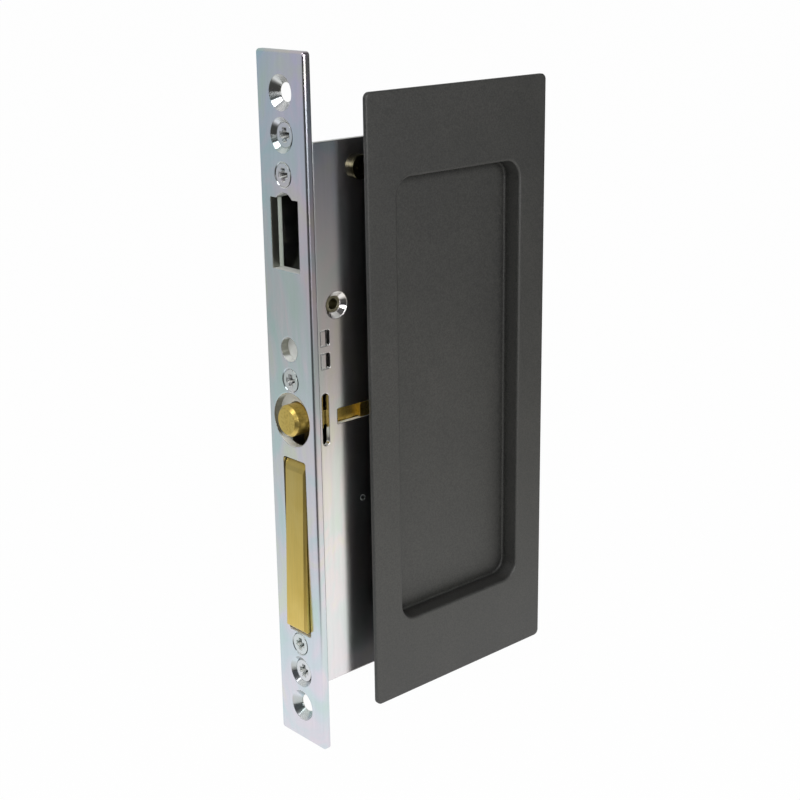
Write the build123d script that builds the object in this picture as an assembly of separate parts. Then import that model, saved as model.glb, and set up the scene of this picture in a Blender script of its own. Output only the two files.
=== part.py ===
from build123d import *
from math import asin, cos, radians, sin, sqrt
import os

# Pocket door lock: mortise case with a hook bolt, a push button that swings out an edge pull,
# and a flush pull for one face of the door.
# Frame: origin at the middle of the faceplate's back face, the plane that seats on the door edge.
# +X runs into the door, -Y is the face with the flush pull, +Z is up. Millimetres.

# Faceplate
PLATE_H = 203.2
PLATE_W = 20.4
PLATE_T = 2.4
PLATE_CORNER = 1.0
PLATE_EDGE = 0.7
PLATE_BACK_EDGE = 0.5
WOOD_SCREW_Z = 90.5
WOOD_SCREW_R = 2.6
WOOD_SINK_R = 4.8
SIGHT_HOLE_Z = 20.1
SIGHT_HOLE_R = 3.55
BUTTON_HOLE_R = 7.9

# Screws that join the faceplate to the case
CLAMP_Z = 79.3
CLAMP_HEAD_SUNK = 1.0
CLAMP_HEAD_R = 3.4
CLAMP_SHANK_R = 2.0
FACE_SCREW_TOP = 68.7
FACE_SCREW_MIDDLE = 11.05
FACE_SCREW_BOTTOM = -70.2
FACE_HEAD_R = 3.2
FACE_SHANK_R = 1.75
FACE_HEAD_SUNK = 0.05
HEAD_RIM = 0.1
SCREW_STICK_OUT = 0.9
THREAD_GAP = 0.05
HEAD_GAP = 0.05

# Cross recess of the screw heads
CROSS_SPAN = 0.58
CROSS_WIDTH = 0.24
CROSS_DEPTH = 0.32
CROSS_DRAFT = 12.0
PAN_DOME = 0.2

# Case: folded body, open at both ends, with a tray-shaped rear cover whose flanges close the ends
SHEET = 1.5
CASE_W = 16.0
CASE_DEPTH = 72.0
CASE_TOP = 77.6
CASE_BOTTOM = -80.8
BEND_R = 2.0
LID_DROP = 2.8
EAR_W = 14.0
EAR_REACH = 85.0

# Hook bolt and its window
HOOK_X = 8.34
HOOK_Z = 32.39
HOOK_T = 4.4
HOOK_TIP_R = 31.8
HOOK_ARM_R = 24.0
HOOK_BEAK_R = 15.2
HOOK_HUB_R = 6.2
HOOK_EDGE = 0.6
BEAK_FROM = -12.0
BEAK_TO = 8.0
ARM_FROM = -52.0
WEB_TO = -30.0
WINDOW_W = 11.9
WINDOW_BOTTOM = 42.4
WINDOW_TOP = 62.3
WINDOW_ARCH_W = 6.7
WINDOW_ARCH_TOP = 64.0
WINDOW_STEP = 0.1
BUSH_R = 4.0
BUSH_BORE_R = 1.6
BUSH_SINK_R = 3.8
BUSH_SIGHT_R = 2.15

# Turn hub, crank pins and link
HUB_SPACING = 35.0
CRANK_R = 11.0
CRANK_REST = -45.0
HUB_FLANGE_R = 9.0
HUB_BARREL_R = 4.8
HUB_JOURNAL_R = 4.3
SPINDLE = 5.0
CRANK_PIN_R = 1.75
CRANK_BOSS_R = 3.2
LINK_W = 5.0
LINK_EYE_R = 3.0
LINK_T = 2.0
PIN_HEAD_R = 2.6
PIN_HEAD_T = 0.8

# Detent leaf spring under the hub
LEAF_T = 0.8
LEAF_TOE_R = 0.35
LEAF_W = 8.0
LEAF_FRONT = 7.0
LEAF_BACK = 19.0
DETENT_BLOCK = 6.0

# Push button and its slide
BUTTON_Z = -0.5
BUTTON_R = 4.6
BUTTON_PROUD = 2.0
BUTTON_CHAMFER = 0.85
BUTTON_STUD_R = 2.0
BUTTON_TRAVEL = 5.0
BUTTON_OPENING_GAP = 0.3
SLIDE_GAP = 0.3
SLIDE_PLATE_T = 2.2
SLIDE_PLATE_TOP = 7.2
SLIDE_PLATE_BOTTOM = -3.0
SLIDE_BAR_T = 2.7
SLIDE_END_X = 30.0
SLIDE_END_T = 4.0
SLIDE_END_H = 6.6
FINGER_T = 2.3
GUIDE_SLOT_Z = 0.15
GUIDE_SLOT_H = 4.5
GUIDE_SLOT_FRONT = 7.7
GUIDE_X = 16.1
GUIDE_L = 9.0
GUIDE_GAP = 0.2
GUIDE_CORNER = 0.4
FINGER_LAP = 0.2
VIEW_SLOT_X = 3.45
VIEW_SLOT_W = 2.5
VIEW_SLOT_TOP = 7.8
VIEW_SLOT_BOTTOM = -7.6

# Button return spring
SPRING_SEAT_X = 48.5
SPRING_WIRE = 0.8
SPRING_WIRE_SIDES = 6
SPRING_R = 2.9
SPRING_TURNS = 5
SPRING_STUB_R = 2.1
SPRING_STUB_L = 3.0
SEAT_FOOT_L = 8.0

# Edge pull: a rocker on a cross pin, pushed by the button's finger
PULL_X = 16.36
PULL_Z = -26.7
PULL_SLOT_TOP = -12.2
PULL_SLOT_BOTTOM = -66.5
PULL_SLOT_W = 9.9
PULL_SLOT_Y = -0.4
PULL_SLOT_CORNER = 0.8
PULL_RELIEF = 1.0
PULL_SIDE_GAP = 0.3
PULL_SWEEP_GAP = 0.3
PULL_TOP_GAP = 0.8
PULL_BOTTOM_GAP = 1.7
PULL_BAR_T = 4.5
PULL_TOP_PROUD = 0.2
PULL_PROUD = 1.8
PULL_BAR_EDGE = 0.7
PULL_WEB_T = 5.0
PULL_BOSS_R = 5.0
PULL_WEB_H = 15.0
PULL_ARM = 18.7
PULL_NOSE_R = 1.2
FINGER_GAP = 0.4
PULL_PIN_R = 2.0
PULL_PIN_END_R = 0.8

# Tie plate that is staked through the case side
TIE_X = 2.4
TIE_T = 1.8
TIE_TOP = 26.5
TIE_BOTTOM = 14.0
TIE_TAB_UPPER = 23.7
TIE_TAB_LOWER = 17.1
TIE_TAB_H = 4.2
TIE_SLOT_L = 3.2
TIE_SLOT_H = 4.5
TIE_SLOT_CORNER = 0.6

# Cover screws and posts: a pan head beside the pull, flat heads where the cup may lie over them
COVER_SCREW_FRONT = 17.27
COVER_SCREW_DOWN = 7.9
REAR_SCREW_IN = 8.0
REAR_SCREW_UP = 8.0
COVER_HEAD_R = 3.5
COVER_HEAD_T = 1.5
COVER_FLAT_R = 2.9
COVER_SHANK_R = 1.75
COVER_SHANK_L = 9.0
POST_R = 2.65
POST_RIVET_R = 2.0

# Flush pull, pressed with a deep cup whose back rests on the case
FLUSH_W = 70.5
FLUSH_H = 181.5
FLUSH_T = 1.2
FLUSH_X = 50.0
FLUSH_Z = -0.6
FLUSH_CORNER = 1.8
FLUSH_EDGE = 0.3
CUP_W = 48.9
CUP_H = 133.4
CUP_DEPTH = 5.7
CUP_CORNER = 5.4
CUP_WALL = 1.0
CUP_DRAFT = 6.0
CUP_FLOOR_FILLET = 0.6
CUP_RIM = 0.7
FLUSH_SCREW_DZ = 54.0
FLUSH_SCREW_R = 2.0
FLUSH_SCREW_HEAD_R = 3.75
FLUSH_SCREW_L = 9.0
FLUSH_POST_R = 4.0
THREAD_END = 1.2

# Fits
RUN_GAP = 0.05
SEAT_GAP = 0.02
WALL_GAP = 0.3

# Planes and places that several pieces share
CASE_OUT = CASE_W / 2
CASE_IN = CASE_OUT - SHEET
HUB_X = HOOK_X + HUB_SPACING
BOSS_END = CASE_IN - WALL_GAP
HOOK_SIDE = HOOK_T / 2
LINK_NEAR = HOOK_SIDE + WALL_GAP
LINK_FAR = LINK_NEAR + LINK_T
SLIDE_FRONT = SHEET + SLIDE_GAP
SLIDE_BACK = SLIDE_FRONT + SLIDE_PLATE_T
SLIDE_SIDE = CASE_IN - SLIDE_GAP
FINGER_FACE = PULL_X - PULL_NOSE_R - FINGER_GAP
GUIDE_H = GUIDE_SLOT_H - 2 * GUIDE_GAP
GUIDE_SLOT_BACK = GUIDE_X + GUIDE_L + BUTTON_TRAVEL + GUIDE_GAP
CUP_BACK = -CASE_OUT
FLUSH_FRONT = CUP_BACK - CUP_WALL - CUP_DEPTH
SEAT_PLANE = FLUSH_FRONT + FLUSH_T
SWING = asin(BUTTON_TRAVEL / PULL_ARM)


def block(x0, x1, y0, y1, z0, z1):
    """Box between two corners."""
    centre = ((x0 + x1) / 2, (y0 + y1) / 2, (z0 + z1) / 2)
    return Pos(*centre) * Box(x1 - x0, y1 - y0, z1 - z0)


def along_x(profile, x0, x1):
    """Extrude a (y, z) profile from x0 to x1."""
    return extrude(Plane((x0, 0, 0), x_dir=(0, 1, 0), z_dir=(1, 0, 0)) * profile, amount=x1 - x0)


def along_y(profile, y0, y1):
    """Extrude an (x, z) profile from y0 to y1."""
    return extrude(Plane((0, y1, 0), x_dir=(1, 0, 0), z_dir=(0, -1, 0)) * profile, amount=y1 - y0)


def rod_x(y, z, radius, x0, x1):
    """Cylinder along X."""
    return along_x(Pos(y, z) * Circle(radius), x0, x1)


def rod_y(x, z, radius, y0, y1):
    """Cylinder along Y."""
    return along_y(Pos(x, z) * Circle(radius), y0, y1)


def turned(points):
    """Solid of revolution about local Z from (radius, height) points."""
    return revolve(Plane.XZ * make_face(Polyline(*points, close=True)), axis=Axis.Z)


def into_x(x, y, z):
    """Seat whose local Z points into the door edge."""
    return Plane((x, y, z), x_dir=(0, 1, 0), z_dir=(1, 0, 0))


def into_y(x, y, z):
    """Seat whose local Z points from the pull's face into the door."""
    return Plane((x, y, z), x_dir=(1, 0, 0), z_dir=(0, 1, 0))


def out_of_y(x, y, z):
    """Seat whose local Z points from the door's other face into the door."""
    return Plane((x, y, z), x_dir=(1, 0, 0), z_dir=(0, -1, 0))


def sink(head_r, hole_r, length):
    """Countersunk hole: 90 degree cone from local Z 0, then a straight hole."""
    depth = head_r - hole_r
    return turned([(0, 0), (head_r, 0), (hole_r, depth), (hole_r, length), (0, length)])


def sink_for(head_r, sunk):
    """Countersink radius that seats a flat head this far below the surface."""
    return head_r * (1 + HEAD_RIM) + HEAD_GAP + sunk


def cross_recess(head_r):
    """Cross-shaped driver recess, open at local Z 0."""
    span = 2 * head_r * CROSS_SPAN
    width = 2 * head_r * CROSS_WIDTH
    depth = 2 * head_r * CROSS_DEPTH
    arms = Rectangle(span, width) + Rectangle(width, span)
    return extrude(arms, amount=depth, taper=CROSS_DRAFT)


def flat_screw(head_r, shank_r, length):
    """Countersunk machine screw, head at local Z 0."""
    depth = head_r - shank_r
    rim = HEAD_RIM * head_r
    body = turned([(0, 0), (head_r, 0), (head_r, rim), (shank_r, depth + rim),
                   (shank_r, length), (0, length)])
    return body - cross_recess(head_r)


def pan_screw(head_r, head_t, shank_r, length):
    """Pan head machine screw, head seat at local Z 0."""
    dome = head_t * PAN_DOME
    body = turned([(0, -head_t), (head_r - dome, -head_t), (head_r, -head_t + dome), (head_r, 0),
                   (shank_r, 0), (shank_r, length), (0, length)])
    return body - Pos(0, 0, -head_t) * cross_recess(head_r)


def hook_point(radius, angle):
    """Point about the hook's pivot: angle in degrees from up, positive out of the door edge."""
    return (HOOK_X - radius * sin(radians(angle)), HOOK_Z + radius * cos(radians(angle)))


def ring_sector(inner, outer, start, end):
    """Sector of a ring about the hook's pivot."""
    middle = (start + end) / 2
    edges = [
        Line(hook_point(inner, start), hook_point(outer, start)),
        ThreePointArc(hook_point(outer, start), hook_point(outer, middle), hook_point(outer, end)),
        Line(hook_point(outer, end), hook_point(inner, end)),
        ThreePointArc(hook_point(inner, end), hook_point(inner, middle), hook_point(inner, start)),
    ]
    return make_face(edges)


def crank_point(centre_x):
    """Crank pin place at rest for a pivot at centre_x on the hook's level."""
    x = centre_x - CRANK_R * sin(radians(CRANK_REST))
    return (x, HOOK_Z + CRANK_R * cos(radians(CRANK_REST)))


def window_profile(step):
    """Hook window with its arched relief, in (y, z), grown by step on every side."""
    half = WINDOW_ARCH_W / 2
    rise = WINDOW_ARCH_TOP - WINDOW_TOP
    radius = (half ** 2 + rise ** 2) / (2 * rise)
    height = WINDOW_TOP - WINDOW_BOTTOM
    opening = Pos(0, (WINDOW_TOP + WINDOW_BOTTOM) / 2) * Rectangle(WINDOW_W + 2 * step, height + 2 * step)
    return opening + Pos(0, WINDOW_ARCH_TOP - radius) * Circle(radius + step)


def pull_slot_profile(top, bottom, width):
    """Rounded slot for the edge pull, in (y, z)."""
    return Pos(PULL_SLOT_Y, (top + bottom) / 2) * RectangleRounded(width, top - bottom, PULL_SLOT_CORNER)


def clamp_sink(length):
    """Deep countersink of the two clamp screws."""
    return sink(sink_for(CLAMP_HEAD_R, CLAMP_HEAD_SUNK), CLAMP_SHANK_R + THREAD_GAP, length)


def flush_sink():
    """Countersunk and threaded hole for the flush pull's screws, through the cover into the posts."""
    return sink(sink_for(FLUSH_SCREW_HEAD_R, 0), FLUSH_SCREW_R + THREAD_GAP, FLUSH_SCREW_L + THREAD_END)


def face_sink():
    """Shallow countersink of the three face screws."""
    return sink(sink_for(FACE_HEAD_R, FACE_HEAD_SUNK), FACE_SHANK_R + THREAD_GAP, PLATE_T)


def face_screw_zs():
    """Heights of the three face screws."""
    return (FACE_SCREW_TOP, FACE_SCREW_MIDDLE, FACE_SCREW_BOTTOM)


def tie_tab_zs():
    """Heights of the tie plate's two tabs."""
    return (TIE_TAB_UPPER, TIE_TAB_LOWER)


def front_screw_place():
    """Place of the pan head cover screw, in (x, z)."""
    return (COVER_SCREW_FRONT, CASE_TOP - COVER_SCREW_DOWN)


def rear_screw_places():
    """Places of the two flat head cover screws, in (x, z)."""
    rear = CASE_DEPTH - REAR_SCREW_IN
    return ((rear, CASE_TOP - REAR_SCREW_UP), (rear, CASE_BOTTOM + REAR_SCREW_UP))


def cover_screw_places():
    """Places of all the cover screws, in (x, z)."""
    return (front_screw_place(), *rear_screw_places())


def make_faceplate():
    outline = RectangleRounded(PLATE_W, PLATE_H, PLATE_CORNER)
    plate = along_x(outline, -PLATE_T, 0)
    front = plate.faces().sort_by(Axis.X)[0]
    plate = fillet(front.edges(), PLATE_EDGE)
    back = plate.faces().sort_by(Axis.X)[-1]
    plate = fillet(back.edges(), PLATE_BACK_EDGE)
    for side in (1, -1):
        plate -= into_x(-PLATE_T, 0, side * WOOD_SCREW_Z) * sink(WOOD_SINK_R, WOOD_SCREW_R, PLATE_T)
        plate -= into_x(-PLATE_T, 0, side * CLAMP_Z) * clamp_sink(PLATE_T)
    for z in face_screw_zs():
        plate -= into_x(-PLATE_T, 0, z) * face_sink()
    plate -= along_x(window_profile(0), -PLATE_T, 0)
    plate -= rod_x(0, SIGHT_HOLE_Z, SIGHT_HOLE_R, -PLATE_T, 0)
    plate -= rod_x(0, BUTTON_Z, BUTTON_HOLE_R, -PLATE_T, 0)
    plate -= along_x(pull_slot_profile(PULL_SLOT_TOP, PULL_SLOT_BOTTOM, PULL_SLOT_W), -PLATE_T, 0)
    half = PULL_SLOT_W / 2
    relief = make_face(Polyline((0, PULL_SLOT_TOP + PULL_RELIEF), (0, PULL_SLOT_TOP - PULL_SLOT_CORNER),
                                (-PULL_RELIEF, PULL_SLOT_TOP - PULL_SLOT_CORNER),
                                (-PULL_RELIEF, PULL_SLOT_TOP), close=True))
    return plate - along_y(relief, PULL_SLOT_Y - half, PULL_SLOT_Y + half)


def make_case_body():
    height = CASE_TOP - CASE_BOTTOM
    middle = (CASE_TOP + CASE_BOTTOM) / 2
    shell = block(0, CASE_DEPTH, -CASE_OUT, CASE_OUT, CASE_BOTTOM, CASE_TOP)
    side = shell.faces().sort_by(Axis.Y)[0]
    shell = fillet(side.edges().filter_by(Axis.Z), BEND_R)
    hollow = Pos(CASE_DEPTH / 2, CASE_OUT, middle) * Box(CASE_DEPTH - 2 * SHEET, 2 * CASE_OUT + 2 * CASE_IN,
                                                         height)
    hollow_floor = hollow.faces().sort_by(Axis.Y)[0]
    shell -= fillet(hollow_floor.edges().filter_by(Axis.Z), BEND_R - SHEET)
    for side in (1, -1):
        root = (CASE_TOP if side > 0 else CASE_BOTTOM) - side * BEND_R
        low, high = sorted((root, side * EAR_REACH))
        shell += block(0, SHEET, -EAR_W / 2, EAR_W / 2, low, high)
    shell -= along_x(window_profile(WINDOW_STEP), 0, SHEET)
    shell -= rod_x(0, BUTTON_Z, BUTTON_R + BUTTON_OPENING_GAP, 0, SHEET)
    opening_bottom = PULL_SLOT_BOTTOM - PULL_RELIEF
    shell -= along_x(pull_slot_profile(BUTTON_Z, opening_bottom, PULL_SLOT_W + PULL_RELIEF), 0, SHEET)
    for z in face_screw_zs():
        shell -= rod_x(0, z, FACE_SHANK_R + THREAD_GAP, 0, SHEET)
    for side in (1, -1):
        seat = into_x(-PLATE_T, 0, side * CLAMP_Z)
        shell -= seat * clamp_sink(PLATE_T + SHEET)
    shell -= into_y(HOOK_X, -CASE_OUT, HOOK_Z) * sink(BUSH_SINK_R, BUSH_SIGHT_R, 2 * SHEET)
    for z in tie_tab_zs():
        shell -= tie_slot(z, -CASE_OUT, -CASE_IN)
    view_middle = (VIEW_SLOT_TOP + VIEW_SLOT_BOTTOM) / 2
    view = Rot(0, 0, 90) * SlotOverall(VIEW_SLOT_TOP - VIEW_SLOT_BOTTOM, VIEW_SLOT_W)
    shell -= along_y(Pos(VIEW_SLOT_X, view_middle) * view, -CASE_OUT, -CASE_IN)
    guide_middle = (GUIDE_SLOT_FRONT + GUIDE_SLOT_BACK) / 2
    guide = RectangleRounded(GUIDE_SLOT_BACK - GUIDE_SLOT_FRONT, GUIDE_SLOT_H, GUIDE_CORNER)
    shell -= along_y(Pos(guide_middle, GUIDE_SLOT_Z) * guide, -CASE_OUT, -CASE_IN)
    shell -= rod_y(PULL_X, PULL_Z, PULL_PIN_END_R + RUN_GAP, -CASE_OUT, -CASE_IN)
    shell -= rod_y(HUB_X, HOOK_Z, HUB_JOURNAL_R + RUN_GAP, -CASE_OUT, -CASE_IN)
    x, z = front_screw_place()
    shell -= rod_y(x, z, COVER_SHANK_R + THREAD_GAP, -CASE_OUT, -CASE_IN)
    flat_sink = sink(sink_for(COVER_FLAT_R, 0), COVER_SHANK_R + THREAD_GAP, SHEET)
    for x, z in rear_screw_places():
        shell -= into_y(x, -CASE_OUT, z) * flat_sink
    for z in flush_screw_zs():
        shell -= rod_y(FLUSH_X, z, FLUSH_POST_R + WALL_GAP, -CASE_OUT, -CASE_IN)
    return shell


def make_case_cover():
    low = CASE_BOTTOM + LID_DROP
    high = CASE_TOP - LID_DROP
    edge = -CASE_IN + BEND_R - SHEET + WALL_GAP
    cover = block(SHEET, CASE_DEPTH - SHEET, edge, CASE_OUT, low, high)
    back = cover.faces().sort_by(Axis.Y)[-1]
    cover = fillet(back.edges().filter_by(Axis.X), BEND_R)
    hollow = block(SHEET, CASE_DEPTH - SHEET, edge - SHEET, CASE_IN, low + SHEET, high - SHEET)
    hollow_back = hollow.faces().sort_by(Axis.Y)[-1]
    cover -= fillet(hollow_back.edges().filter_by(Axis.X), BEND_R - SHEET)
    cover -= rod_y(HOOK_X, HOOK_Z, BUSH_BORE_R, CASE_IN, CASE_OUT)
    for z in tie_tab_zs():
        cover -= tie_slot(z, CASE_IN, CASE_OUT)
    cover -= rod_y(PULL_X, PULL_Z, PULL_PIN_END_R + RUN_GAP, CASE_IN, CASE_OUT)
    cover -= rod_y(HUB_X, HOOK_Z, HUB_JOURNAL_R + RUN_GAP, CASE_IN, CASE_OUT)
    for x, z in cover_screw_places():
        cover -= rod_y(x, z, POST_RIVET_R + SEAT_GAP, CASE_IN, CASE_OUT)
    for z in flush_screw_zs():
        cover -= out_of_y(FLUSH_X, CASE_OUT, z) * flush_sink()
    return cover


def tie_slot(z, y0, y1):
    """Slot for one staked tab, longer than the tab towards the back and rounded there."""
    slot = block(TIE_X - SEAT_GAP, TIE_X + TIE_SLOT_L, y0, y1, z - TIE_SLOT_H / 2, z + TIE_SLOT_H / 2)
    return fillet(slot.edges().filter_by(Axis.Y).group_by(Axis.X)[-1], TIE_SLOT_CORNER)


def make_front_tie():
    tie = block(TIE_X, TIE_X + TIE_T, -CASE_IN, CASE_IN, TIE_BOTTOM, TIE_TOP)
    for z in tie_tab_zs():
        tie += block(TIE_X, TIE_X + TIE_T, -CASE_OUT, CASE_OUT, z - TIE_TAB_H / 2, z + TIE_TAB_H / 2)
    return tie


def make_clamp_screws():
    length = PLATE_T + SHEET - CLAMP_HEAD_SUNK
    screw = flat_screw(CLAMP_HEAD_R, CLAMP_SHANK_R, length)
    return [into_x(-PLATE_T + CLAMP_HEAD_SUNK, 0, side * CLAMP_Z) * screw for side in (1, -1)]


def make_face_screws():
    length = PLATE_T + SHEET + SCREW_STICK_OUT - FACE_HEAD_SUNK
    screw = flat_screw(FACE_HEAD_R, FACE_SHANK_R, length)
    return [into_x(-PLATE_T + FACE_HEAD_SUNK, 0, z) * screw for z in face_screw_zs()]


def make_hook_pivot():
    bush = Circle(BUSH_R) - Circle(BUSH_BORE_R)
    return along_y(Pos(HOOK_X, HOOK_Z) * bush, -CASE_IN, CASE_IN)


def make_hook_bolt():
    ring = ring_sector(HOOK_ARM_R, HOOK_TIP_R, ARM_FROM, BEAK_TO)
    beak = ring_sector(HOOK_BEAK_R, HOOK_TIP_R, BEAK_FROM, BEAK_TO)
    web = ring_sector(BUSH_R, HOOK_TIP_R, ARM_FROM, WEB_TO)
    hook = along_y(ring + beak + web, -HOOK_SIDE, HOOK_SIDE)
    rims = [e for e in hook.edges().filter_by(GeomType.CIRCLE) if e.radius > HOOK_TIP_R - HOOK_EDGE]
    hook = chamfer(rims, HOOK_EDGE)
    hook += rod_y(HOOK_X, HOOK_Z, HOOK_HUB_R, -BOSS_END, BOSS_END)
    hook -= rod_y(HOOK_X, HOOK_Z, BUSH_R + RUN_GAP, -CASE_IN, CASE_IN)
    x, z = crank_point(HOOK_X)
    return hook - rod_y(x, z, CRANK_PIN_R + SEAT_GAP, -HOOK_SIDE, HOOK_SIDE)


def crank_pin(centre_x, near):
    """Headed pin from the carrier's far side through the link."""
    x, z = crank_point(centre_x)
    pin = rod_y(x, z, CRANK_PIN_R, near, LINK_FAR + WALL_GAP)
    return pin + rod_y(x, z, PIN_HEAD_R, LINK_FAR + WALL_GAP, LINK_FAR + WALL_GAP + PIN_HEAD_T)


def make_turn_hub():
    x, z = crank_point(HUB_X)
    flange = Pos(HUB_X, HOOK_Z) * Circle(HUB_FLANGE_R)
    boss = Pos(x, z) * Circle(CRANK_BOSS_R)
    hub = along_y(make_hull(flange.edges() + boss.edges()), -HOOK_SIDE, HOOK_SIDE)
    hub += rod_y(HUB_X, HOOK_Z, HUB_BARREL_R, -BOSS_END, BOSS_END)
    hub += rod_y(HUB_X, HOOK_Z, HUB_JOURNAL_R, -CASE_OUT, CASE_OUT)
    hub -= block(HUB_X - SPINDLE / 2, HUB_X + SPINDLE / 2, -CASE_OUT, CASE_OUT,
                 HOOK_Z - SPINDLE / 2, HOOK_Z + SPINDLE / 2)
    return hub - rod_y(x, z, CRANK_PIN_R + SEAT_GAP, -HOOK_SIDE, HOOK_SIDE)


def make_hook_link():
    ends = [crank_point(HOOK_X), crank_point(HUB_X)]
    middle = ((ends[0][0] + ends[1][0]) / 2, ends[0][1])
    bar = Pos(*middle) * Rectangle(HUB_SPACING, LINK_W)
    for x, z in ends:
        bar += Pos(x, z) * Circle(LINK_EYE_R)
    link = along_y(bar, LINK_NEAR, LINK_FAR)
    for x, z in ends:
        link -= rod_y(x, z, CRANK_PIN_R + RUN_GAP, LINK_NEAR, LINK_FAR)
    return link


def leaf_top():
    """Top of the leaf spring, just clear of the hub's rim."""
    return HOOK_Z - HUB_FLANGE_R - WALL_GAP


def make_detent_spring():
    x0 = HUB_X - LEAF_FRONT
    x1 = HUB_X + LEAF_BACK
    leaf = block(x0, x1, -LEAF_W / 2, LEAF_W / 2, leaf_top() - LEAF_T, leaf_top())
    toe = leaf.edges().filter_by(Axis.Y).group_by(Axis.X)[0]
    return fillet(toe, LEAF_TOE_R)


def make_detent_block():
    x1 = HUB_X + LEAF_BACK
    x0 = x1 - DETENT_BLOCK
    middle = leaf_top() - LEAF_T / 2
    body = block(x0, x1, -CASE_IN, CASE_IN, middle - DETENT_BLOCK / 2, middle + DETENT_BLOCK / 2)
    return body - block(x0, x1, -LEAF_W / 2 - SEAT_GAP, LEAF_W / 2 + SEAT_GAP,
                        leaf_top() - LEAF_T - SEAT_GAP, leaf_top() + SEAT_GAP)


def make_push_button():
    front = -PLATE_T - BUTTON_PROUD
    button = rod_x(0, BUTTON_Z, BUTTON_R, front, SLIDE_FRONT)
    rim = button.faces().sort_by(Axis.X)[0].edges()
    button = chamfer(rim, BUTTON_CHAMFER)
    return button + rod_x(0, BUTTON_Z, BUTTON_STUD_R, SLIDE_FRONT, SLIDE_BACK)


def make_button_slide():
    low = GUIDE_SLOT_Z - GUIDE_H / 2
    high = GUIDE_SLOT_Z + GUIDE_H / 2
    inner = -SLIDE_SIDE + SLIDE_BAR_T
    half_web = PULL_WEB_T / 2
    end_low = GUIDE_SLOT_Z - SLIDE_END_H / 2
    end_high = GUIDE_SLOT_Z + SLIDE_END_H / 2
    slide = block(SLIDE_FRONT, SLIDE_BACK, -SLIDE_SIDE, SLIDE_SIDE, SLIDE_PLATE_BOTTOM, SLIDE_PLATE_TOP)
    slide += block(SLIDE_BACK, SLIDE_END_X, -SLIDE_SIDE, inner, low, high)
    end_front = SLIDE_END_X - SLIDE_END_T
    slide += block(end_front, SLIDE_END_X, -SLIDE_SIDE, SPRING_R + SPRING_WIRE, end_low, end_high)
    nose_low = PULL_Z + PULL_ARM * cos(SWING) + FINGER_LAP
    slide += block(FINGER_FACE - FINGER_T, FINGER_FACE, -SLIDE_SIDE, half_web, nose_low, high)
    slide += rod_x(0, GUIDE_SLOT_Z, SPRING_STUB_R, SLIDE_END_X, SLIDE_END_X + SPRING_STUB_L)
    return slide - rod_x(0, BUTTON_Z, BUTTON_STUD_R + SEAT_GAP, SLIDE_FRONT, SLIDE_BACK)


def make_slide_guide():
    block_middle = (GUIDE_X + GUIDE_L / 2, GUIDE_SLOT_Z)
    profile = Pos(*block_middle) * RectangleRounded(GUIDE_L, GUIDE_H, GUIDE_CORNER)
    return along_y(profile, -CASE_OUT, -SLIDE_SIDE)


def make_spring_seat():
    low = GUIDE_SLOT_Z - SLIDE_END_H
    high = GUIDE_SLOT_Z + SLIDE_END_H
    seat = block(SPRING_SEAT_X, SPRING_SEAT_X + SHEET, -CASE_IN, CASE_IN, low, high)
    seat += block(SPRING_SEAT_X, SPRING_SEAT_X + SEAT_FOOT_L, CASE_IN - SHEET, CASE_IN, low, high)
    stub_end = SPRING_SEAT_X - SPRING_STUB_L
    return seat + rod_x(0, GUIDE_SLOT_Z, SPRING_STUB_R, stub_end, SPRING_SEAT_X)


def make_button_spring():
    start = SLIDE_END_X + SPRING_WIRE / 2 + SEAT_GAP
    length = SPRING_SEAT_X - SLIDE_END_X - SPRING_WIRE - 2 * SEAT_GAP
    helix = Helix(pitch=length / SPRING_TURNS, height=length, radius=SPRING_R)
    section = RegularPolygon(SPRING_WIRE / 2, SPRING_WIRE_SIDES)
    wire = sweep(Plane(helix @ 0, z_dir=helix % 0) * section, path=helix, is_frenet=True)
    return into_x(start, 0, GUIDE_SLOT_Z) * wire


def pull_sweep_r():
    """Largest radius about the pull's pivot that clears the slot's relieved top edge."""
    return sqrt(PULL_X ** 2 + (PULL_SLOT_TOP + PULL_RELIEF - PULL_Z) ** 2) - PULL_SWEEP_GAP


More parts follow.
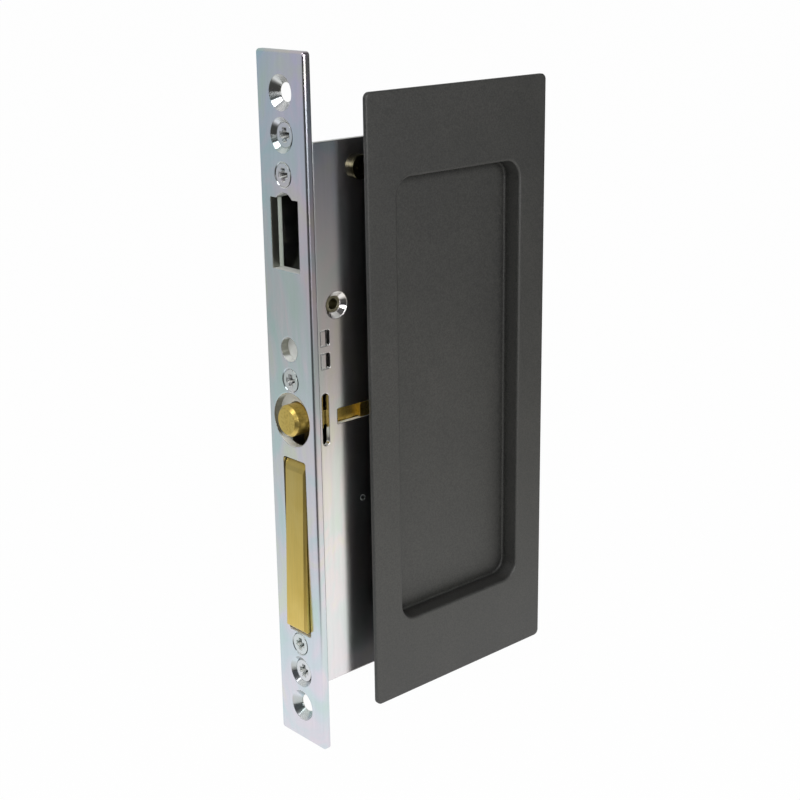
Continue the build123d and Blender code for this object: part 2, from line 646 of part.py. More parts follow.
def make_edge_pull():
    sweep_r = pull_sweep_r()
    front = -PLATE_T
    top = PULL_SLOT_TOP - PULL_TOP_GAP
    bottom = PULL_SLOT_BOTTOM + PULL_BOTTOM_GAP
    lip = front - PULL_TOP_PROUD
    corner_z = PULL_Z + sqrt(sweep_r ** 2 - (PULL_X - lip) ** 2)
    crown_x = PULL_X - sqrt(sweep_r ** 2 - (top - PULL_Z) ** 2)
    bend_z = (corner_z + top) / 2
    bend_x = PULL_X - sqrt(sweep_r ** 2 - (bend_z - PULL_Z) ** 2)
    toe = front - PULL_PROUD
    edges = [
        Line((lip, corner_z), (toe, bottom)),
        Line((toe, bottom), (toe + PULL_BAR_T, bottom)),
        Line((toe + PULL_BAR_T, bottom), (front + PULL_BAR_T, top)),
        Line((front + PULL_BAR_T, top), (crown_x, top)),
        ThreePointArc((crown_x, top), (bend_x, bend_z), (lip, corner_z)),
    ]
    half = PULL_SLOT_W / 2 - PULL_SIDE_GAP
    bar = along_y(make_face(edges), PULL_SLOT_Y - half, PULL_SLOT_Y + half)
    rim = bar.faces().sort_by(Axis.X)[0].edges()
    bar = chamfer(rim, PULL_BAR_EDGE)
    pivot = Pos(PULL_X, PULL_Z) * Circle(PULL_BOSS_R)
    nose = Pos(PULL_X, PULL_Z + PULL_ARM) * Circle(PULL_NOSE_R)
    root = Pos(front + PULL_BAR_T / 2, PULL_Z) * Rectangle(PULL_BAR_T / 2, PULL_WEB_H)
    web = make_hull(pivot.edges() + root.edges()) + make_hull(pivot.edges() + nose.edges())
    lever = bar + along_y(web, -PULL_WEB_T / 2, PULL_WEB_T / 2)
    lever += rod_y(PULL_X, PULL_Z, PULL_BOSS_R, -BOSS_END, BOSS_END)
    return lever - rod_y(PULL_X, PULL_Z, PULL_PIN_R + RUN_GAP, -CASE_IN, CASE_IN)


def make_pull_pivot_pin():
    pin = rod_y(PULL_X, PULL_Z, PULL_PIN_R, -CASE_IN, CASE_IN)
    return pin + rod_y(PULL_X, PULL_Z, PULL_PIN_END_R, -CASE_OUT, CASE_OUT)


def make_cover_screw():
    x, z = front_screw_place()
    return into_y(x, -CASE_OUT, z) * pan_screw(COVER_HEAD_R, COVER_HEAD_T, COVER_SHANK_R, COVER_SHANK_L)


def make_flat_cover_screws():
    screw = flat_screw(COVER_FLAT_R, COVER_SHANK_R, COVER_SHANK_L)
    return [into_y(x, -CASE_OUT, z) * screw for x, z in rear_screw_places()]


def make_cover_posts():
    posts = []
    for x, z in cover_screw_places():
        post = rod_y(x, z, POST_R, -CASE_IN, CASE_IN) + rod_y(x, z, POST_RIVET_R, CASE_IN, CASE_OUT)
        hole_end = -CASE_OUT + COVER_SHANK_L + THREAD_END
        posts.append(post - rod_y(x, z, COVER_SHANK_R + THREAD_GAP, -CASE_IN, hole_end))
    return posts


def flush_screw_zs():
    """Heights of the two screws that hold the flush pull."""
    return (FLUSH_Z + FLUSH_SCREW_DZ, FLUSH_Z - FLUSH_SCREW_DZ)


def make_flush_pull():
    outline = Pos(FLUSH_X, FLUSH_Z) * RectangleRounded(FLUSH_W, FLUSH_H, FLUSH_CORNER)
    plate = along_y(outline, FLUSH_FRONT, SEAT_PLANE)
    front = plate.faces().sort_by(Axis.Y)[0]
    plate = fillet(front.edges(), FLUSH_EDGE)
    mouth = into_y(FLUSH_X, FLUSH_FRONT, FLUSH_Z)
    grown = RectangleRounded(CUP_W + 2 * CUP_WALL, CUP_H + 2 * CUP_WALL, CUP_CORNER + CUP_WALL)
    cup = extrude(mouth * grown, amount=CUP_DEPTH + CUP_WALL, taper=CUP_DRAFT)
    back = cup.faces().sort_by(Axis.Y)[-1]
    plate += fillet(back.edges(), CUP_FLOOR_FILLET + CUP_WALL)
    recess = extrude(mouth * RectangleRounded(CUP_W, CUP_H, CUP_CORNER), amount=CUP_DEPTH, taper=CUP_DRAFT)
    floor = recess.faces().sort_by(Axis.Y)[-1]
    plate -= fillet(floor.edges(), CUP_FLOOR_FILLET)
    rim = plate.faces().sort_by(Axis.Y)[0].inner_wires()[0].edges()
    plate = fillet(rim, CUP_RIM)
    for z in flush_screw_zs():
        plate += rod_y(FLUSH_X, z, FLUSH_POST_R, CUP_BACK, CASE_IN)
        plate -= out_of_y(FLUSH_X, CASE_OUT, z) * flush_sink()
    return plate


def make_pull_screws():
    screw = flat_screw(FLUSH_SCREW_HEAD_R, FLUSH_SCREW_R, FLUSH_SCREW_L)
    return [out_of_y(FLUSH_X, CASE_OUT, z) * screw for z in flush_screw_zs()]


nodes = {
    "faceplate": make_faceplate(),
    "case_body": make_case_body(),
    "case_cover": make_case_cover(),
    "front_tie": make_front_tie(),
    "clamp_screws": make_clamp_screws(),
    "face_screws": make_face_screws(),
    "hook_pivot": make_hook_pivot(),
    "hook_bolt": make_hook_bolt(),
    "hook_pin": crank_pin(HOOK_X, -HOOK_SIDE),
    "hook_link": make_hook_link(),
    "turn_hub": make_turn_hub(),
    "hub_pin": crank_pin(HUB_X, -HOOK_SIDE),
    "detent_spring": make_detent_spring(),
    "detent_block": make_detent_block(),
    "push_button": make_push_button(),
    "button_slide": make_button_slide(),
    "slide_guide": make_slide_guide(),
    "spring_seat": make_spring_seat(),
    "button_spring": make_button_spring(),
    "edge_pull": make_edge_pull(),
    "pull_pivot_pin": make_pull_pivot_pin(),
    "cover_screw": make_cover_screw(),
    "flat_cover_screws": make_flat_cover_screws(),
    "cover_posts": make_cover_posts(),
    "flush_pull": make_flush_pull(),
    "pull_screws": make_pull_screws(),
}

os.makedirs("parts", exist_ok=True)
for name, piece in nodes.items():
    solid = Compound(children=piece) if isinstance(piece, list) else piece
    export_step(solid, f"parts/{name}.step")
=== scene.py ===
import bpy
from mathutils import Matrix, Vector


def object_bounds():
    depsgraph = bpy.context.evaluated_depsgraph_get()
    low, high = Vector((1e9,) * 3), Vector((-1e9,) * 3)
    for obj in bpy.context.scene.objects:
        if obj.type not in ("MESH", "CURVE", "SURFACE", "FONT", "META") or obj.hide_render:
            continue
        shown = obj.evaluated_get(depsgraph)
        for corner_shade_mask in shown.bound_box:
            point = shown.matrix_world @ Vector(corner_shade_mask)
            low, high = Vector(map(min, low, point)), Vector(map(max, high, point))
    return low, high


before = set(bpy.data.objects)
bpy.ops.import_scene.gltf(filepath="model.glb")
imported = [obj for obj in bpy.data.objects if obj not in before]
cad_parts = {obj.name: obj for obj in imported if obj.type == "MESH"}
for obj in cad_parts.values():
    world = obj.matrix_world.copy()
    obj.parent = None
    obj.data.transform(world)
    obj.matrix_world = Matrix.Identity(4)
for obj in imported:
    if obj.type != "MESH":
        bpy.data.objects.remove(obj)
cad_low, cad_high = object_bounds()

# Sizes in metres, colours in linear light, angles by their cosines, noise in repeats per metre
MM = 0.001
WHITE = (1.0, 1.0, 1.0, 1.0)
BLACK = (0.0, 0.0, 0.0, 1.0)

# Sockets of a Mix node, which has a set for colours and one for numbers, and samples of two other nodes
MIX_COLOURS = (6, 7)
MIX_COLOUR_OUT = 2
MIX_NUMBERS = (2, 3)
MIX_NUMBER_OUT = 0
OPEN_SAMPLES = 8
EDGE_SAMPLES = 6

# Directions of the part: into the door, across its edge and up
INWARD = (1.0, 0.0, 0.0)
ACROSS = (0.0, 1.0, 0.0)
UPWARD = (0.0, 0.0, 1.0)

# Camera fitted to the photograph's 800 by 800 frame
PHOTO_SIDE = 800.0
FOCAL_PX = 1522.6
SENSOR = 36.0
CLIP_START = 0.01
CAMERA_AT = Vector((-252.98, -323.88, 132.95)) * MM
CAMERA_RIGHT = Vector((0.7401, -0.6724, -0.0137))
CAMERA_UP = Vector((0.2108, 0.2126, 0.9541))

# Turns of a face towards an axis: where a blend starts and where it is full
SQUARE_ON = (0.82, 0.92)
LEANING = (0.4, 0.6)
WALL_TURN = (0.6, 0.8)

# Zinc: bloom of colours, drawn streaks, grain, fine peel, rounded edges and painted shade in hollows
BLOOM_SCALE = (55.0, 55.0, 34.0)
BLOOM_HUES = (
    (0.32, (0.60, 0.78, 0.75, 1.0)),
    (0.43, (0.68, 0.77, 0.83, 1.0)),
    (0.53, (0.83, 0.75, 0.84, 1.0)),
    (0.64, (0.82, 0.81, 0.68, 1.0)),
)
STREAK_SCALE = (900.0, 900.0, 30.0)
STREAK_SHADES = ((0.3, (0.96, 0.96, 0.96, 1.0)), (0.7, WHITE))
GRAIN_SCALE = (300.0, 300.0, 60.0)
ZINC_SPAN = (0.05, 0.07)
CONE_ROUGH = 0.10
CONE_SPAN = (0.03, 0.04)
PEEL_SCALE = (1500.0, 1500.0, 220.0)
PEEL_STRENGTH = 0.06
PEEL_DEPTH = 0.05 * MM
EDGE_R = 0.4 * MM
# Painted shade: hollows darkened in colour by how open they are
HOLLOW_DEPTH = 1.2 * MM
HOLLOW_PAINTED_SHADE = ((0.25, (0.12, 0.12, 0.11, 1.0)), (0.80, WHITE))

# Long edges of the faceplate: rounder, greener on one side and lilac on the other, most so at the top
VERGE_FROM = 8.4 * MM
VERGE_BLUR = 0.6 * MM
VERGE_R = 0.65 * MM
VERGE_HALF = 10.0 * MM
VERGE_RISE = 60.0 * MM
VERGE_LEAST = 0.25
VERGE_TINTS = (
    (0.0, (1.0, 0.94, 0.98, 1.0)),
    (0.5, (0.97, 0.97, 0.96, 1.0)),
    (0.9, (0.84, 0.96, 0.92, 1.0)),
)

# Walls in zinc: axis they face, turn, reach along it from the origin, colour, roughness, dull or not;
# a roughness of None leaves it as it is
WALL_BLUR = 0.12 * MM
PUNCHED_WALL = (UPWARD, WALL_TURN, 100.0 * MM, (0.90, 0.91, 0.88, 1.0), 0.60, True)
# Painted shade: walls inside the faceplate's openings, facing across, are darker
PLATE_WALL_PAINTED_SHADE = (ACROSS, WALL_TURN, 9.6 * MM, (0.42, 0.42, 0.37, 1.0), 0.35, False)
SHEET_WALL = (ACROSS, WALL_TURN, 6.15 * MM, (0.76, 0.82, 0.74, 1.0), 0.65, True)
FRONT_WALL = (INWARD, SQUARE_ON, 1.0 * MM, (0.80, 0.81, 0.79, 1.0), None, True)

# Brass: tarnish, upright brushing, flecks, and painted shade and light, darker at the edge pull's head and
# lighter at its foot
TARNISH_SCALE = (90.0, 90.0, 50.0)
TARNISH_HUES = (
    (0.30, (0.75, 0.54, 0.13, 1.0)),
    (0.55, (0.82, 0.61, 0.175, 1.0)),
    (0.75, (0.87, 0.67, 0.23, 1.0)),
)
BRUSH_SCALE = (2600.0, 2600.0, 60.0)
BRUSH_SHADES = ((0.25, (0.88, 0.88, 0.88, 1.0)), (0.75, WHITE))
BRUSH_STRENGTH = 0.10
BRASS_ROUGH = 0.34
FLECK_SCALE = (1500.0, 1500.0, 1500.0)
FLECK_SHADES = ((0.36, (0.84, 0.81, 0.70, 1.0)), (0.50, WHITE))
# Painted shade and light on the edge pull: heights of its head and foot, and the levels there
PULL_HEAD = -12.0 * MM
PULL_FOOT = -66.0 * MM
HEAD_LEVEL = 0.74
FOOT_LEVEL = 1.14

# Dark bronze: clouds, sprayed specks, and painted shade in corners, which also lose their shine
CLOUD_SCALE = (60.0, 60.0, 40.0)
CLOUD_HUES = (
    (0.30, (0.032, 0.032, 0.031, 1.0)),
    (0.55, (0.036, 0.036, 0.034, 1.0)),
    (0.75, (0.041, 0.040, 0.038, 1.0)),
)
SPECK_SCALE = (2400.0, 2400.0, 2400.0)
SPECK_SHADES = ((0.32, (0.60, 0.60, 0.61, 1.0)), (0.68, (1.35, 1.34, 1.30, 1.0)))
SPECK_ROUGH = (0.42, 0.56)
SPECK_STRENGTH = 0.22
SPECK_DEPTH = 0.06 * MM
BRONZE_EDGE_R = 0.75 * MM
CORNER_DEPTH = 4.0 * MM
CORNER_PAINTED_SHADE = ((0.40, (0.55, 0.55, 0.55, 1.0)), (0.90, WHITE))
CORNER_OPEN = (0.55, 0.92)
CORNER_SHINE = (0.06, 0.85)

# Steel and what it shares with brass
MOTTLE_SCALE = (260.0, 260.0, 260.0)
MOTTLE_DARK = 0.3
MOTTLE_LIGHT = 0.7
MOTTLE_STRENGTH = 0.08
METAL_SPAN = (0.06, 0.08)
METAL_DEPTH = 0.04 * MM
METAL_EDGE_R = 0.15 * MM

# Floor: white to the camera, and in reflections a glow of painted tones, a sweep from front to back
FLOOR_SIDE = 12.0
FLOOR_DROP = 0.4 * MM
FLOOR_COLOUR = (0.82, 0.82, 0.81, 1.0)
FLOOR_ROUGH = 0.9
# Share of the glow where the floor is seen, and what the camera's own view adds; the rest keeps the shadow
GLOW_SHARE = 0.93
CAMERA_SHARE = 0.055
GLOW_FRONT = -1.8
GLOW_BACK = 2.0
GLOW_STEPS = (
    (-1.80, (0.02, 0.02, 0.03, 1.0)),
    (-1.20, (0.05, 0.06, 0.08, 1.0)),
    (-0.93, (0.09, 0.11, 0.14, 1.0)),
    (-0.74, (0.17, 0.18, 0.20, 1.0)),
    (-0.54, (0.29, 0.27, 0.24, 1.0)),
    (-0.30, (0.40, 0.37, 0.34, 1.0)),
    (-0.19, (0.88, 0.86, 0.77, 1.0)),
    (-0.10, (1.00, 0.99, 0.94, 1.0)),
    (0.03, (0.94, 0.94, 0.97, 1.0)),
    (0.10, (0.76, 0.80, 0.81, 1.0)),
    (0.25, (0.62, 0.65, 0.64, 1.0)),
    (0.42, (0.48, 0.48, 0.46, 1.0)),
    (0.99, (0.53, 0.54, 0.59, 1.0)),
    (2.00, (0.44, 0.51, 0.62, 1.0)),
)
# Painted dark parts of the room in the floor's glow: direction, cosines of edge and core, distances from
# and to, level left there
PAINTED_GLOOMS = (
    ((-0.92, -0.39, 0.0), 0.45, 0.76, 0.0, 0.20, 0.03),
    ((0.985, -0.17, 0.0), 0.72, 0.95, 0.12, 0.45, 0.25),
)
# A painted lane of one even tone in the floor's glow runs straight to the front
LANE_WAY = (0.0, -1.0, 0.0)
LANE_EDGE = 0.955
LANE_CORE = 0.988
LANE_COLOUR = (0.62, 0.65, 0.68, 1.0)

# Room: tones by height, darker towards the front
ROOM_TONES = (
    (0.00, (0.46, 0.49, 0.52, 1.0)),
    (0.25, (0.52, 0.55, 0.55, 1.0)),
    (0.60, (0.55, 0.55, 0.53, 1.0)),
    (1.00, (0.45, 0.45, 0.45, 1.0)),
)
ROOM_FRONT_LEVEL = 0.15
ROOM_FRONT = -0.3
ROOM_BACK = 0.5

# Lamps: name, place, aim, width, height, watts
LAMPS = (
    ("front", (-0.02, -0.55, 0.17), (0.04, 0.0, 0.0), 0.5, 0.3, 1.6),
    ("high", (-0.9, -0.15, 1.15), (0.03, 0.0, 0.0), 0.7, 0.7, 5.0),
    ("side", (-0.9, -1.15, 0.45), (0.03, 0.0, 0.0), 0.5, 0.5, 4.4),
)


def material(name):
    """New node material, its node tree and its shader."""
    made = bpy.data.materials.new(name)
    made.use_nodes = True
    tree = made.node_tree
    return made, tree, tree.nodes["Principled BSDF"]


def add(tree, kind, **values):
    """Add one node and set its plain properties and inputs by name."""
    node = tree.nodes.new(kind)
    for key, value in values.items():
        if key in node.inputs:
            node.inputs[key].default_value = value
        else:
            setattr(node, key, value)
    return node


def feed(tree, value, socket):
    """Link a socket to an input, or set the input to a plain value."""
    if hasattr(value, "is_linked"):
        tree.links.new(value, socket)
    else:
        socket.default_value = value


def coordinates(tree, kind):
    """Coordinates of one kind: Object, Normal or Generated."""
    return add(tree, "ShaderNodeTexCoord").outputs[kind]


def calculate(tree, operation, *values):
    """One operation on sockets or numbers."""
    node = add(tree, "ShaderNodeMath", operation=operation)
    for value, socket in zip(values, node.inputs):
        feed(tree, value, socket)
    return node.outputs["Value"]


def product(tree, first, second):
    """Product of two values."""
    return calculate(tree, "MULTIPLY", first, second)


def noise(tree, scale, detail=3.0, distortion=0.0):
    """Noise value over the object."""
    mapping = add(tree, "ShaderNodeMapping", Scale=scale)
    tree.links.new(coordinates(tree, "Object"), mapping.inputs["Vector"])
    node = add(tree, "ShaderNodeTexNoise", Scale=1.0, Detail=detail, Distortion=distortion)
    tree.links.new(mapping.outputs["Vector"], node.inputs["Vector"])
    return node.outputs["Fac"]


def ramp(tree, value, stops):
    """Colour ramp through (place, colour) stops."""
    node = add(tree, "ShaderNodeValToRGB")
    bar = node.color_ramp
    while len(bar.elements) < len(stops):
        bar.elements.new(0.5)
    for element, (place, colour) in zip(bar.elements, stops):
        element.position = place
        element.color = colour
    tree.links.new(value, node.inputs["Fac"])
    return node.outputs["Color"]


def spread(tree, value, low, high, start=0.0, end=1.0):
    """Map a value from start to end onto low to high, held at both ends."""
    node = add(tree, "ShaderNodeMapRange")
    node.inputs["From Min"].default_value = start
    node.inputs["From Max"].default_value = end
    node.inputs["To Min"].default_value = low
    node.inputs["To Max"].default_value = high
    tree.links.new(value, node.inputs["Value"])
    return node.outputs["Result"]


def vary(tree, value, middle, span):
    """Map a value onto a range that goes below and above a middle."""
    below, above = span
    return spread(tree, value, middle - below, middle + above)


def towards(tree, vector, direction):
    """Length of a vector along a direction."""
    node = add(tree, "ShaderNodeVectorMath", operation="DOT_PRODUCT")
    node.inputs[1].default_value = direction
    tree.links.new(vector, node.inputs[0])
    return node.outputs["Value"]


def polar(tree, vector):
    """Length of a vector and its direction."""
    length = add(tree, "ShaderNodeVectorMath", operation="LENGTH")
    tree.links.new(vector, length.inputs[0])
    heading = add(tree, "ShaderNodeVectorMath", operation="NORMALIZE")
    tree.links.new(vector, heading.inputs[0])
    return length.outputs["Value"], heading.outputs["Vector"]


def mix(tree, factor, first, second, kind="MIX"):
    """Blend two colours, each a socket or a plain value."""
    node = add(tree, "ShaderNodeMix", data_type="RGBA", blend_type=kind)
    feed(tree, factor, node.inputs["Factor"])
    for value, place in zip((first, second), MIX_COLOURS):
        feed(tree, value, node.inputs[place])
    return node.outputs[MIX_COLOUR_OUT]


def shade(tree, colour, tone):
    """Colour multiplied by a tone."""
    return mix(tree, 1.0, colour, tone, "MULTIPLY")


def blend(tree, factor, first, second):
    """Blend two numbers, each a socket or a plain value."""
    node = add(tree, "ShaderNodeMix", data_type="FLOAT")
    feed(tree, factor, node.inputs["Factor"])
    for value, place in zip((first, second), MIX_NUMBERS):
        feed(tree, value, node.inputs[place])
    return node.outputs[MIX_NUMBER_OUT]


def openness(tree, depth):
    """1 on open faces, less in hollows and corners of about a depth; the finishes paint shade with it."""
    return add(tree, "ShaderNodeAmbientOcclusion", samples=OPEN_SAMPLES, Distance=depth).outputs["AO"]


def facing(tree, axis, turn):
    """0 to 1 as a face turns to look along an axis, either way."""
    lean = calculate(tree, "ABSOLUTE", towards(tree, coordinates(tree, "Normal"), axis))
    return spread(tree, lean, 0.0, 1.0, *turn)


def within(tree, axis, limit, blur):
    """1 up to a distance from the origin along an axis, either way, 0 farther out."""
    away = calculate(tree, "ABSOLUTE", towards(tree, coordinates(tree, "Object"), axis))
    return spread(tree, away, 1.0, 0.0, limit, limit + blur)


def soften(tree, shader, height, strength, distance, edge):
    """Bump from a height value, over edges rounded by a small radius."""
    bevel = add(tree, "ShaderNodeBevel", samples=EDGE_SAMPLES)
    feed(tree, edge, bevel.inputs["Radius"])
    bump = add(tree, "ShaderNodeBump", Strength=strength, Distance=distance)
    tree.links.new(height, bump.inputs["Height"])
    tree.links.new(bevel.outputs["Normal"], bump.inputs["Normal"])
    tree.links.new(bump.outputs["Normal"], shader.inputs["Normal"])


def verge_tint(tree):
    """Greener towards one long edge, lilac towards the other."""
    place = coordinates(tree, "Object")
    side = spread(tree, towards(tree, place, ACROSS), 0.0, 1.0, -VERGE_HALF, VERGE_HALF)
    rise = spread(tree, towards(tree, place, UPWARD), VERGE_LEAST, 1.0, -VERGE_RISE, VERGE_RISE)
    return mix(tree, rise, WHITE, ramp(tree, side, VERGE_TINTS))


def zinc_colour(tree, tint, bloom_share, hollows, verge):
    """Tint under a green, blue, lilac and straw bloom, with faint streaks, and painted shade in its hollows
    when asked.
    """
    bloom = ramp(tree, noise(tree, BLOOM_SCALE, detail=4.0, distortion=1.2), BLOOM_HUES)
    colour = mix(tree, bloom_share, tint, bloom)
    if verge:
        colour = shade(tree, colour, verge_tint(tree))
    colour = shade(tree, colour, ramp(tree, noise(tree, STREAK_SCALE, detail=2.0), STREAK_SHADES))
    # Painted shade: darker colour in hollows
    if hollows:
        colour = shade(tree, colour, ramp(tree, openness(tree, HOLLOW_DEPTH), HOLLOW_PAINTED_SHADE))
    return colour


def zinc_roughness(tree, rough, flat_rough):
    """Grained on the sides, one value on faces that look inward or outward, sharp on cones between them."""
    grain = noise(tree, GRAIN_SCALE, detail=4.0)
    square = facing(tree, INWARD, SQUARE_ON)
    flat = blend(tree, square, vary(tree, grain, rough, ZINC_SPAN), flat_rough)
    cone = product(tree, facing(tree, INWARD, LEANING), calculate(tree, "SUBTRACT", 1.0, square))
    return blend(tree, cone, flat, vary(tree, grain, CONE_ROUGH, CONE_SPAN))


def zinc(name, tint, bloom_share, rough, flat_rough, walls, hollows=False, verge=False):
    """Bright zinc; its walls have colours of their own, those inside the faceplate's openings a darker
    painted shade, and the dull ones don't shine as metal does.
    """
    made, tree, shader = material(name)
    colour = zinc_colour(tree, tint, bloom_share, hollows, verge)
    roughness = zinc_roughness(tree, rough, flat_rough)
    dullness = 0.0
    for axis, turn, limit, wall_colour, wall_rough, dull in walls:
        wall = product(tree, facing(tree, axis, turn), within(tree, axis, limit, WALL_BLUR))
        colour = mix(tree, wall, colour, wall_colour)
        if wall_rough is not None:
            roughness = blend(tree, wall, roughness, wall_rough)
        if dull:
            dullness = calculate(tree, "MAXIMUM", dullness, wall)
    tree.links.new(colour, shader.inputs["Base Color"])
    tree.links.new(roughness, shader.inputs["Roughness"])
    tree.links.new(spread(tree, dullness, 1.0, 0.0), shader.inputs["Metallic"])
    edge = EDGE_R
    if verge:
        edge = spread(tree, within(tree, ACROSS, VERGE_FROM, VERGE_BLUR), VERGE_R, EDGE_R)
    soften(tree, shader, noise(tree, PEEL_SCALE), PEEL_STRENGTH, PEEL_DEPTH, edge)
    return made


def flecks(tree):
    """Small darker flecks."""
    return ramp(tree, noise(tree, FLECK_SCALE, detail=2.0), FLECK_SHADES)


def painted_height_shade(tree):
    """Painted shade and light: lighter from the head of the edge pull to its foot."""
    height = towards(tree, coordinates(tree, "Object"), UPWARD)
    return spread(tree, height, FOOT_LEVEL, HEAD_LEVEL, PULL_FOOT, PULL_HEAD)


def brass(name, tone):
    """Satin brass with fine upright brushing, a little tarnish and one more tone over it."""
    made, tree, shader = material(name)
    shader.inputs["Metallic"].default_value = 1.0
    tarnish = ramp(tree, noise(tree, TARNISH_SCALE, detail=5.0, distortion=0.8), TARNISH_HUES)
    lines = noise(tree, BRUSH_SCALE, detail=2.0)
    brushed = shade(tree, tarnish, ramp(tree, lines, BRUSH_SHADES))
    tree.links.new(shade(tree, brushed, tone(tree)), shader.inputs["Base Color"])
    tree.links.new(vary(tree, lines, BRASS_ROUGH, METAL_SPAN), shader.inputs["Roughness"])
    soften(tree, shader, lines, BRUSH_STRENGTH, METAL_DEPTH, METAL_EDGE_R)
    return made


def dark_bronze(name):
    """Matte charcoal bronze finish with a fine sprayed grain; painted shade darkens its corners, which are
    also duller.
    """
    made, tree, shader = material(name)
    corner_shade_mask = openness(tree, CORNER_DEPTH)
    cloud = ramp(tree, noise(tree, CLOUD_SCALE, detail=5.0), CLOUD_HUES)
    speck = noise(tree, SPECK_SCALE, detail=2.0)
    grained = shade(tree, cloud, ramp(tree, speck, SPECK_SHADES))
    # Painted shade: colour darker in corners
    tree.links.new(shade(tree, grained, ramp(tree, corner_shade_mask, CORNER_PAINTED_SHADE)), shader.inputs["Base Color"])
    tree.links.new(spread(tree, corner_shade_mask, *CORNER_SHINE, *CORNER_OPEN), shader.inputs["Specular IOR Level"])
    tree.links.new(spread(tree, speck, *SPECK_ROUGH), shader.inputs["Roughness"])
    soften(tree, shader, speck, SPECK_STRENGTH, SPECK_DEPTH, BRONZE_EDGE_R)
    return made


def plain_steel(name, dark, light, rough):
    """Plated, bare or blackened steel with a mottled surface."""
    made, tree, shader = material(name)
    shader.inputs["Metallic"].default_value = 1.0
    mottle = noise(tree, MOTTLE_SCALE, detail=4.0)
    colour = ramp(tree, mottle, ((MOTTLE_DARK, dark), (MOTTLE_LIGHT, light)))
    tree.links.new(colour, shader.inputs["Base Color"])
    tree.links.new(vary(tree, mottle, rough, METAL_SPAN), shader.inputs["Roughness"])
    soften(tree, shader, mottle, MOTTLE_STRENGTH, METAL_DEPTH, METAL_EDGE_R)
    return made


def dress():
    """Give each node of the frame its finish."""
    # Faceplate: painted shade on the walls of its openings
    plate = zinc("zinc_plate", tint=(0.74, 0.80, 0.81, 1.0), bloom_share=0.70, rough=0.21, flat_rough=0.21,
                 walls=(PLATE_WALL_PAINTED_SHADE, PUNCHED_WALL), verge=True)
    sheet = zinc("zinc_sheet", tint=(0.93, 0.92, 0.90, 1.0), bloom_share=0.45, rough=0.19, flat_rough=0.27,
                 walls=(SHEET_WALL, FRONT_WALL, PUNCHED_WALL))
    # Screws: painted shade darkens the colour in their hollows
    screw = zinc("zinc_screw", tint=(0.80, 0.81, 0.77, 1.0), bloom_share=0.45, rough=0.20, flat_rough=0.22,
                 walls=(PUNCHED_WALL,), hollows=True)
    yellow = plain_steel("yellow_zinc", (0.06, 0.055, 0.033, 1.0), (0.13, 0.12, 0.075, 1.0), rough=0.22)
    satin = brass("satin_brass", flecks)
    # Edge pull: painted shade and light by height
    edge = brass("edge_brass", painted_height_shade)
    bronze = dark_bronze("dark_bronze")
    black = plain_steel("black_steel", (0.10, 0.10, 0.085, 1.0), (0.16, 0.16, 0.14, 1.0), rough=0.55)
    bush = plain_steel("dull_bush", (0.30, 0.28, 0.18, 1.0), (0.42, 0.39, 0.27, 1.0), rough=0.30)
    wire = plain_steel("drawn_wire", (0.32, 0.32, 0.33, 1.0), (0.45, 0.45, 0.46, 1.0), rough=0.35)
    finishes = {
        plate: ("faceplate",),
        sheet: ("case_body", "case_cover", "front_tie"),
        screw: ("clamp_screws", "face_screws", "cover_posts", "pull_pivot_pin", "spring_seat"),
        yellow: ("cover_screw", "flat_cover_screws", "pull_screws"),
        bush: ("hook_pivot",),
        satin: ("push_button", "button_slide", "slide_guide", "turn_hub"),
        edge: ("edge_pull",),
        bronze: ("flush_pull",),
        black: ("hook_bolt", "hook_pin", "hub_pin", "hook_link", "detent_block"),
        wire: ("detent_spring", "button_spring"),
    }
    for finish, names in finishes.items():
        for name in names:
            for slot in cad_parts[name].material_slots:
                slot.material = finish


def painted_floor_reflections(tree):
    """Painted reflection tones that the floor glows with: the sweep, its dark parts and the lane."""
    place = coordinates(tree, "Object")
    share = spread(tree, towards(tree, place, ACROSS), 0.0, 1.0, GLOW_FRONT, GLOW_BACK)
    span = GLOW_BACK - GLOW_FRONT
    tones = ramp(tree, share, [((y - GLOW_FRONT) / span, colour) for y, colour in GLOW_STEPS])
    reach, heading = polar(tree, place)
    for way, edge, core, near, far, level in PAINTED_GLOOMS:
        wedge = spread(tree, towards(tree, heading, way), 0.0, 1.0, edge, core)
        depth = spread(tree, reach, 0.0, 1.0 - level, near, far)
        tones = mix(tree, product(tree, wedge, depth), tones, BLACK)
    lane = spread(tree, towards(tree, heading, LANE_WAY), 0.0, 1.0, LANE_EDGE, LANE_CORE)
    return mix(tree, lane, tones, LANE_COLOUR)


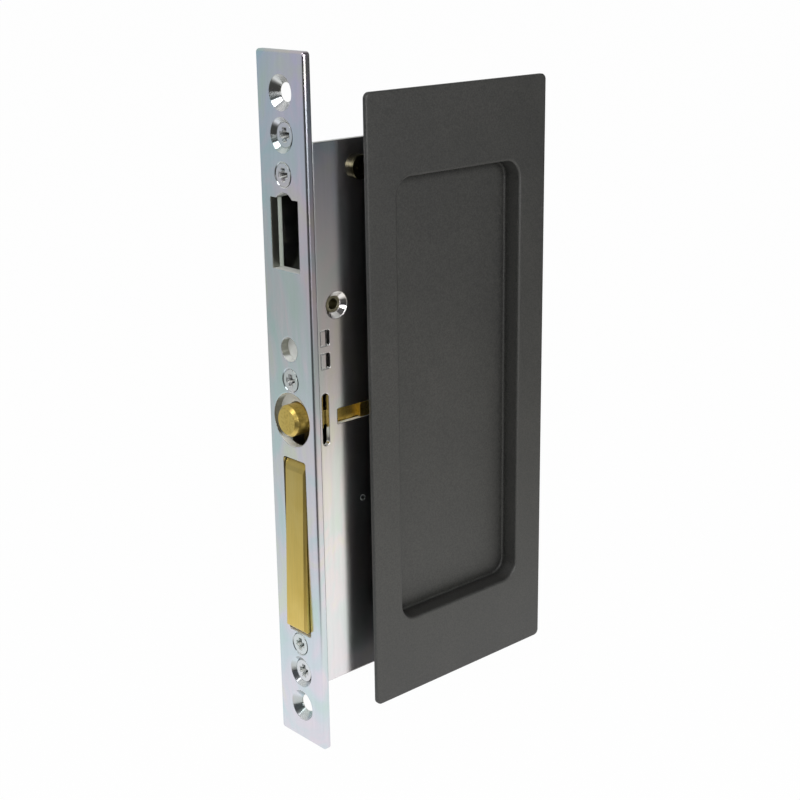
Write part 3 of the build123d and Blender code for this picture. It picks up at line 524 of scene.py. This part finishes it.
def make_floor():
    """Pale floor: white to the camera; to reflections it glows with painted tones, brightest near the part.
    """
    low = cad_low[2] - FLOOR_DROP
    half = FLOOR_SIDE / 2
    corners = [(-half, -half, low), (half, -half, low), (half, half, low), (-half, half, low)]
    mesh = bpy.data.meshes.new("floor")
    mesh.from_pydata(corners, [], [(0, 1, 2, 3)])
    floor = bpy.data.objects.new("floor", mesh)
    bpy.context.scene.collection.objects.link(floor)
    made, tree, shader = material("pale_floor")
    shader.inputs["Base Color"].default_value = FLOOR_COLOUR
    shader.inputs["Roughness"].default_value = FLOOR_ROUGH
    path = add(tree, "ShaderNodeLightPath")
    camera_ray = path.outputs["Is Camera Ray"]
    seen = camera_ray
    for ray in ("Is Glossy Ray", "Is Transmission Ray"):
        seen = calculate(tree, "MAXIMUM", seen, path.outputs[ray])
    glow = add(tree, "ShaderNodeEmission", Strength=1.0)
    # Painted reflections: the floor glows with these tones to glossy and transmission rays
    tree.links.new(mix(tree, camera_ray, painted_floor_reflections(tree), WHITE), glow.inputs["Color"])
    seen_share = spread(tree, seen, 0.0, GLOW_SHARE)
    camera_share = spread(tree, camera_ray, 0.0, CAMERA_SHARE)
    cover = add(tree, "ShaderNodeMixShader")
    tree.links.new(calculate(tree, "ADD", seen_share, camera_share), cover.inputs["Fac"])
    tree.links.new(shader.outputs["BSDF"], cover.inputs[1])
    tree.links.new(glow.outputs["Emission"], cover.inputs[2])
    tree.links.new(cover.outputs["Shader"], tree.nodes["Material Output"].inputs["Surface"])
    mesh.materials.append(made)


def make_world():
    """White to the camera, a soft grey room to everything else."""
    world = bpy.data.worlds.new("studio")
    bpy.context.scene.world = world
    world.use_nodes = True
    tree = world.node_tree
    way = coordinates(tree, "Generated")
    tones = ramp(tree, spread(tree, towards(tree, way, UPWARD), 0.0, 1.0), ROOM_TONES)
    level = spread(tree, towards(tree, way, ACROSS), ROOM_FRONT_LEVEL, 1.0, ROOM_FRONT, ROOM_BACK)
    camera_ray = add(tree, "ShaderNodeLightPath").outputs["Is Camera Ray"]
    back = tree.nodes["Background"]
    tree.links.new(mix(tree, camera_ray, mix(tree, level, BLACK, tones), WHITE), back.inputs["Color"])
    back.inputs["Strength"].default_value = 1.0


def make_lamp(name, place, aim, width, height, power):
    """Soft rectangular lamp aimed at a point."""
    light = bpy.data.lights.new(name, "AREA")
    light.shape = "RECTANGLE"
    light.size = width
    light.size_y = height
    light.energy = power
    lamp = bpy.data.objects.new(name, light)
    lamp.location = place
    lamp.rotation_euler = (Vector(aim) - Vector(place)).to_track_quat("-Z", "Y").to_euler()
    bpy.context.scene.collection.objects.link(lamp)


def make_camera():
    """Camera at the photograph's viewpoint."""
    data = bpy.data.cameras.new("camera")
    data.sensor_width = SENSOR
    data.lens = FOCAL_PX / PHOTO_SIDE * SENSOR
    data.clip_start = CLIP_START
    camera = bpy.data.objects.new("camera", data)
    bpy.context.scene.collection.objects.link(camera)
    right = CAMERA_RIGHT.normalized()
    back = right.cross(CAMERA_UP).normalized()
    up = back.cross(right)
    turn = Matrix((right, up, back)).transposed().to_4x4()
    camera.matrix_world = Matrix.Translation(CAMERA_AT) @ turn
    bpy.context.scene.camera = camera


dress()
make_floor()
make_world()
for lamp in LAMPS:
    make_lamp(*lamp)
make_camera()
bpy.context.scene.view_settings.view_transform = "Standard"
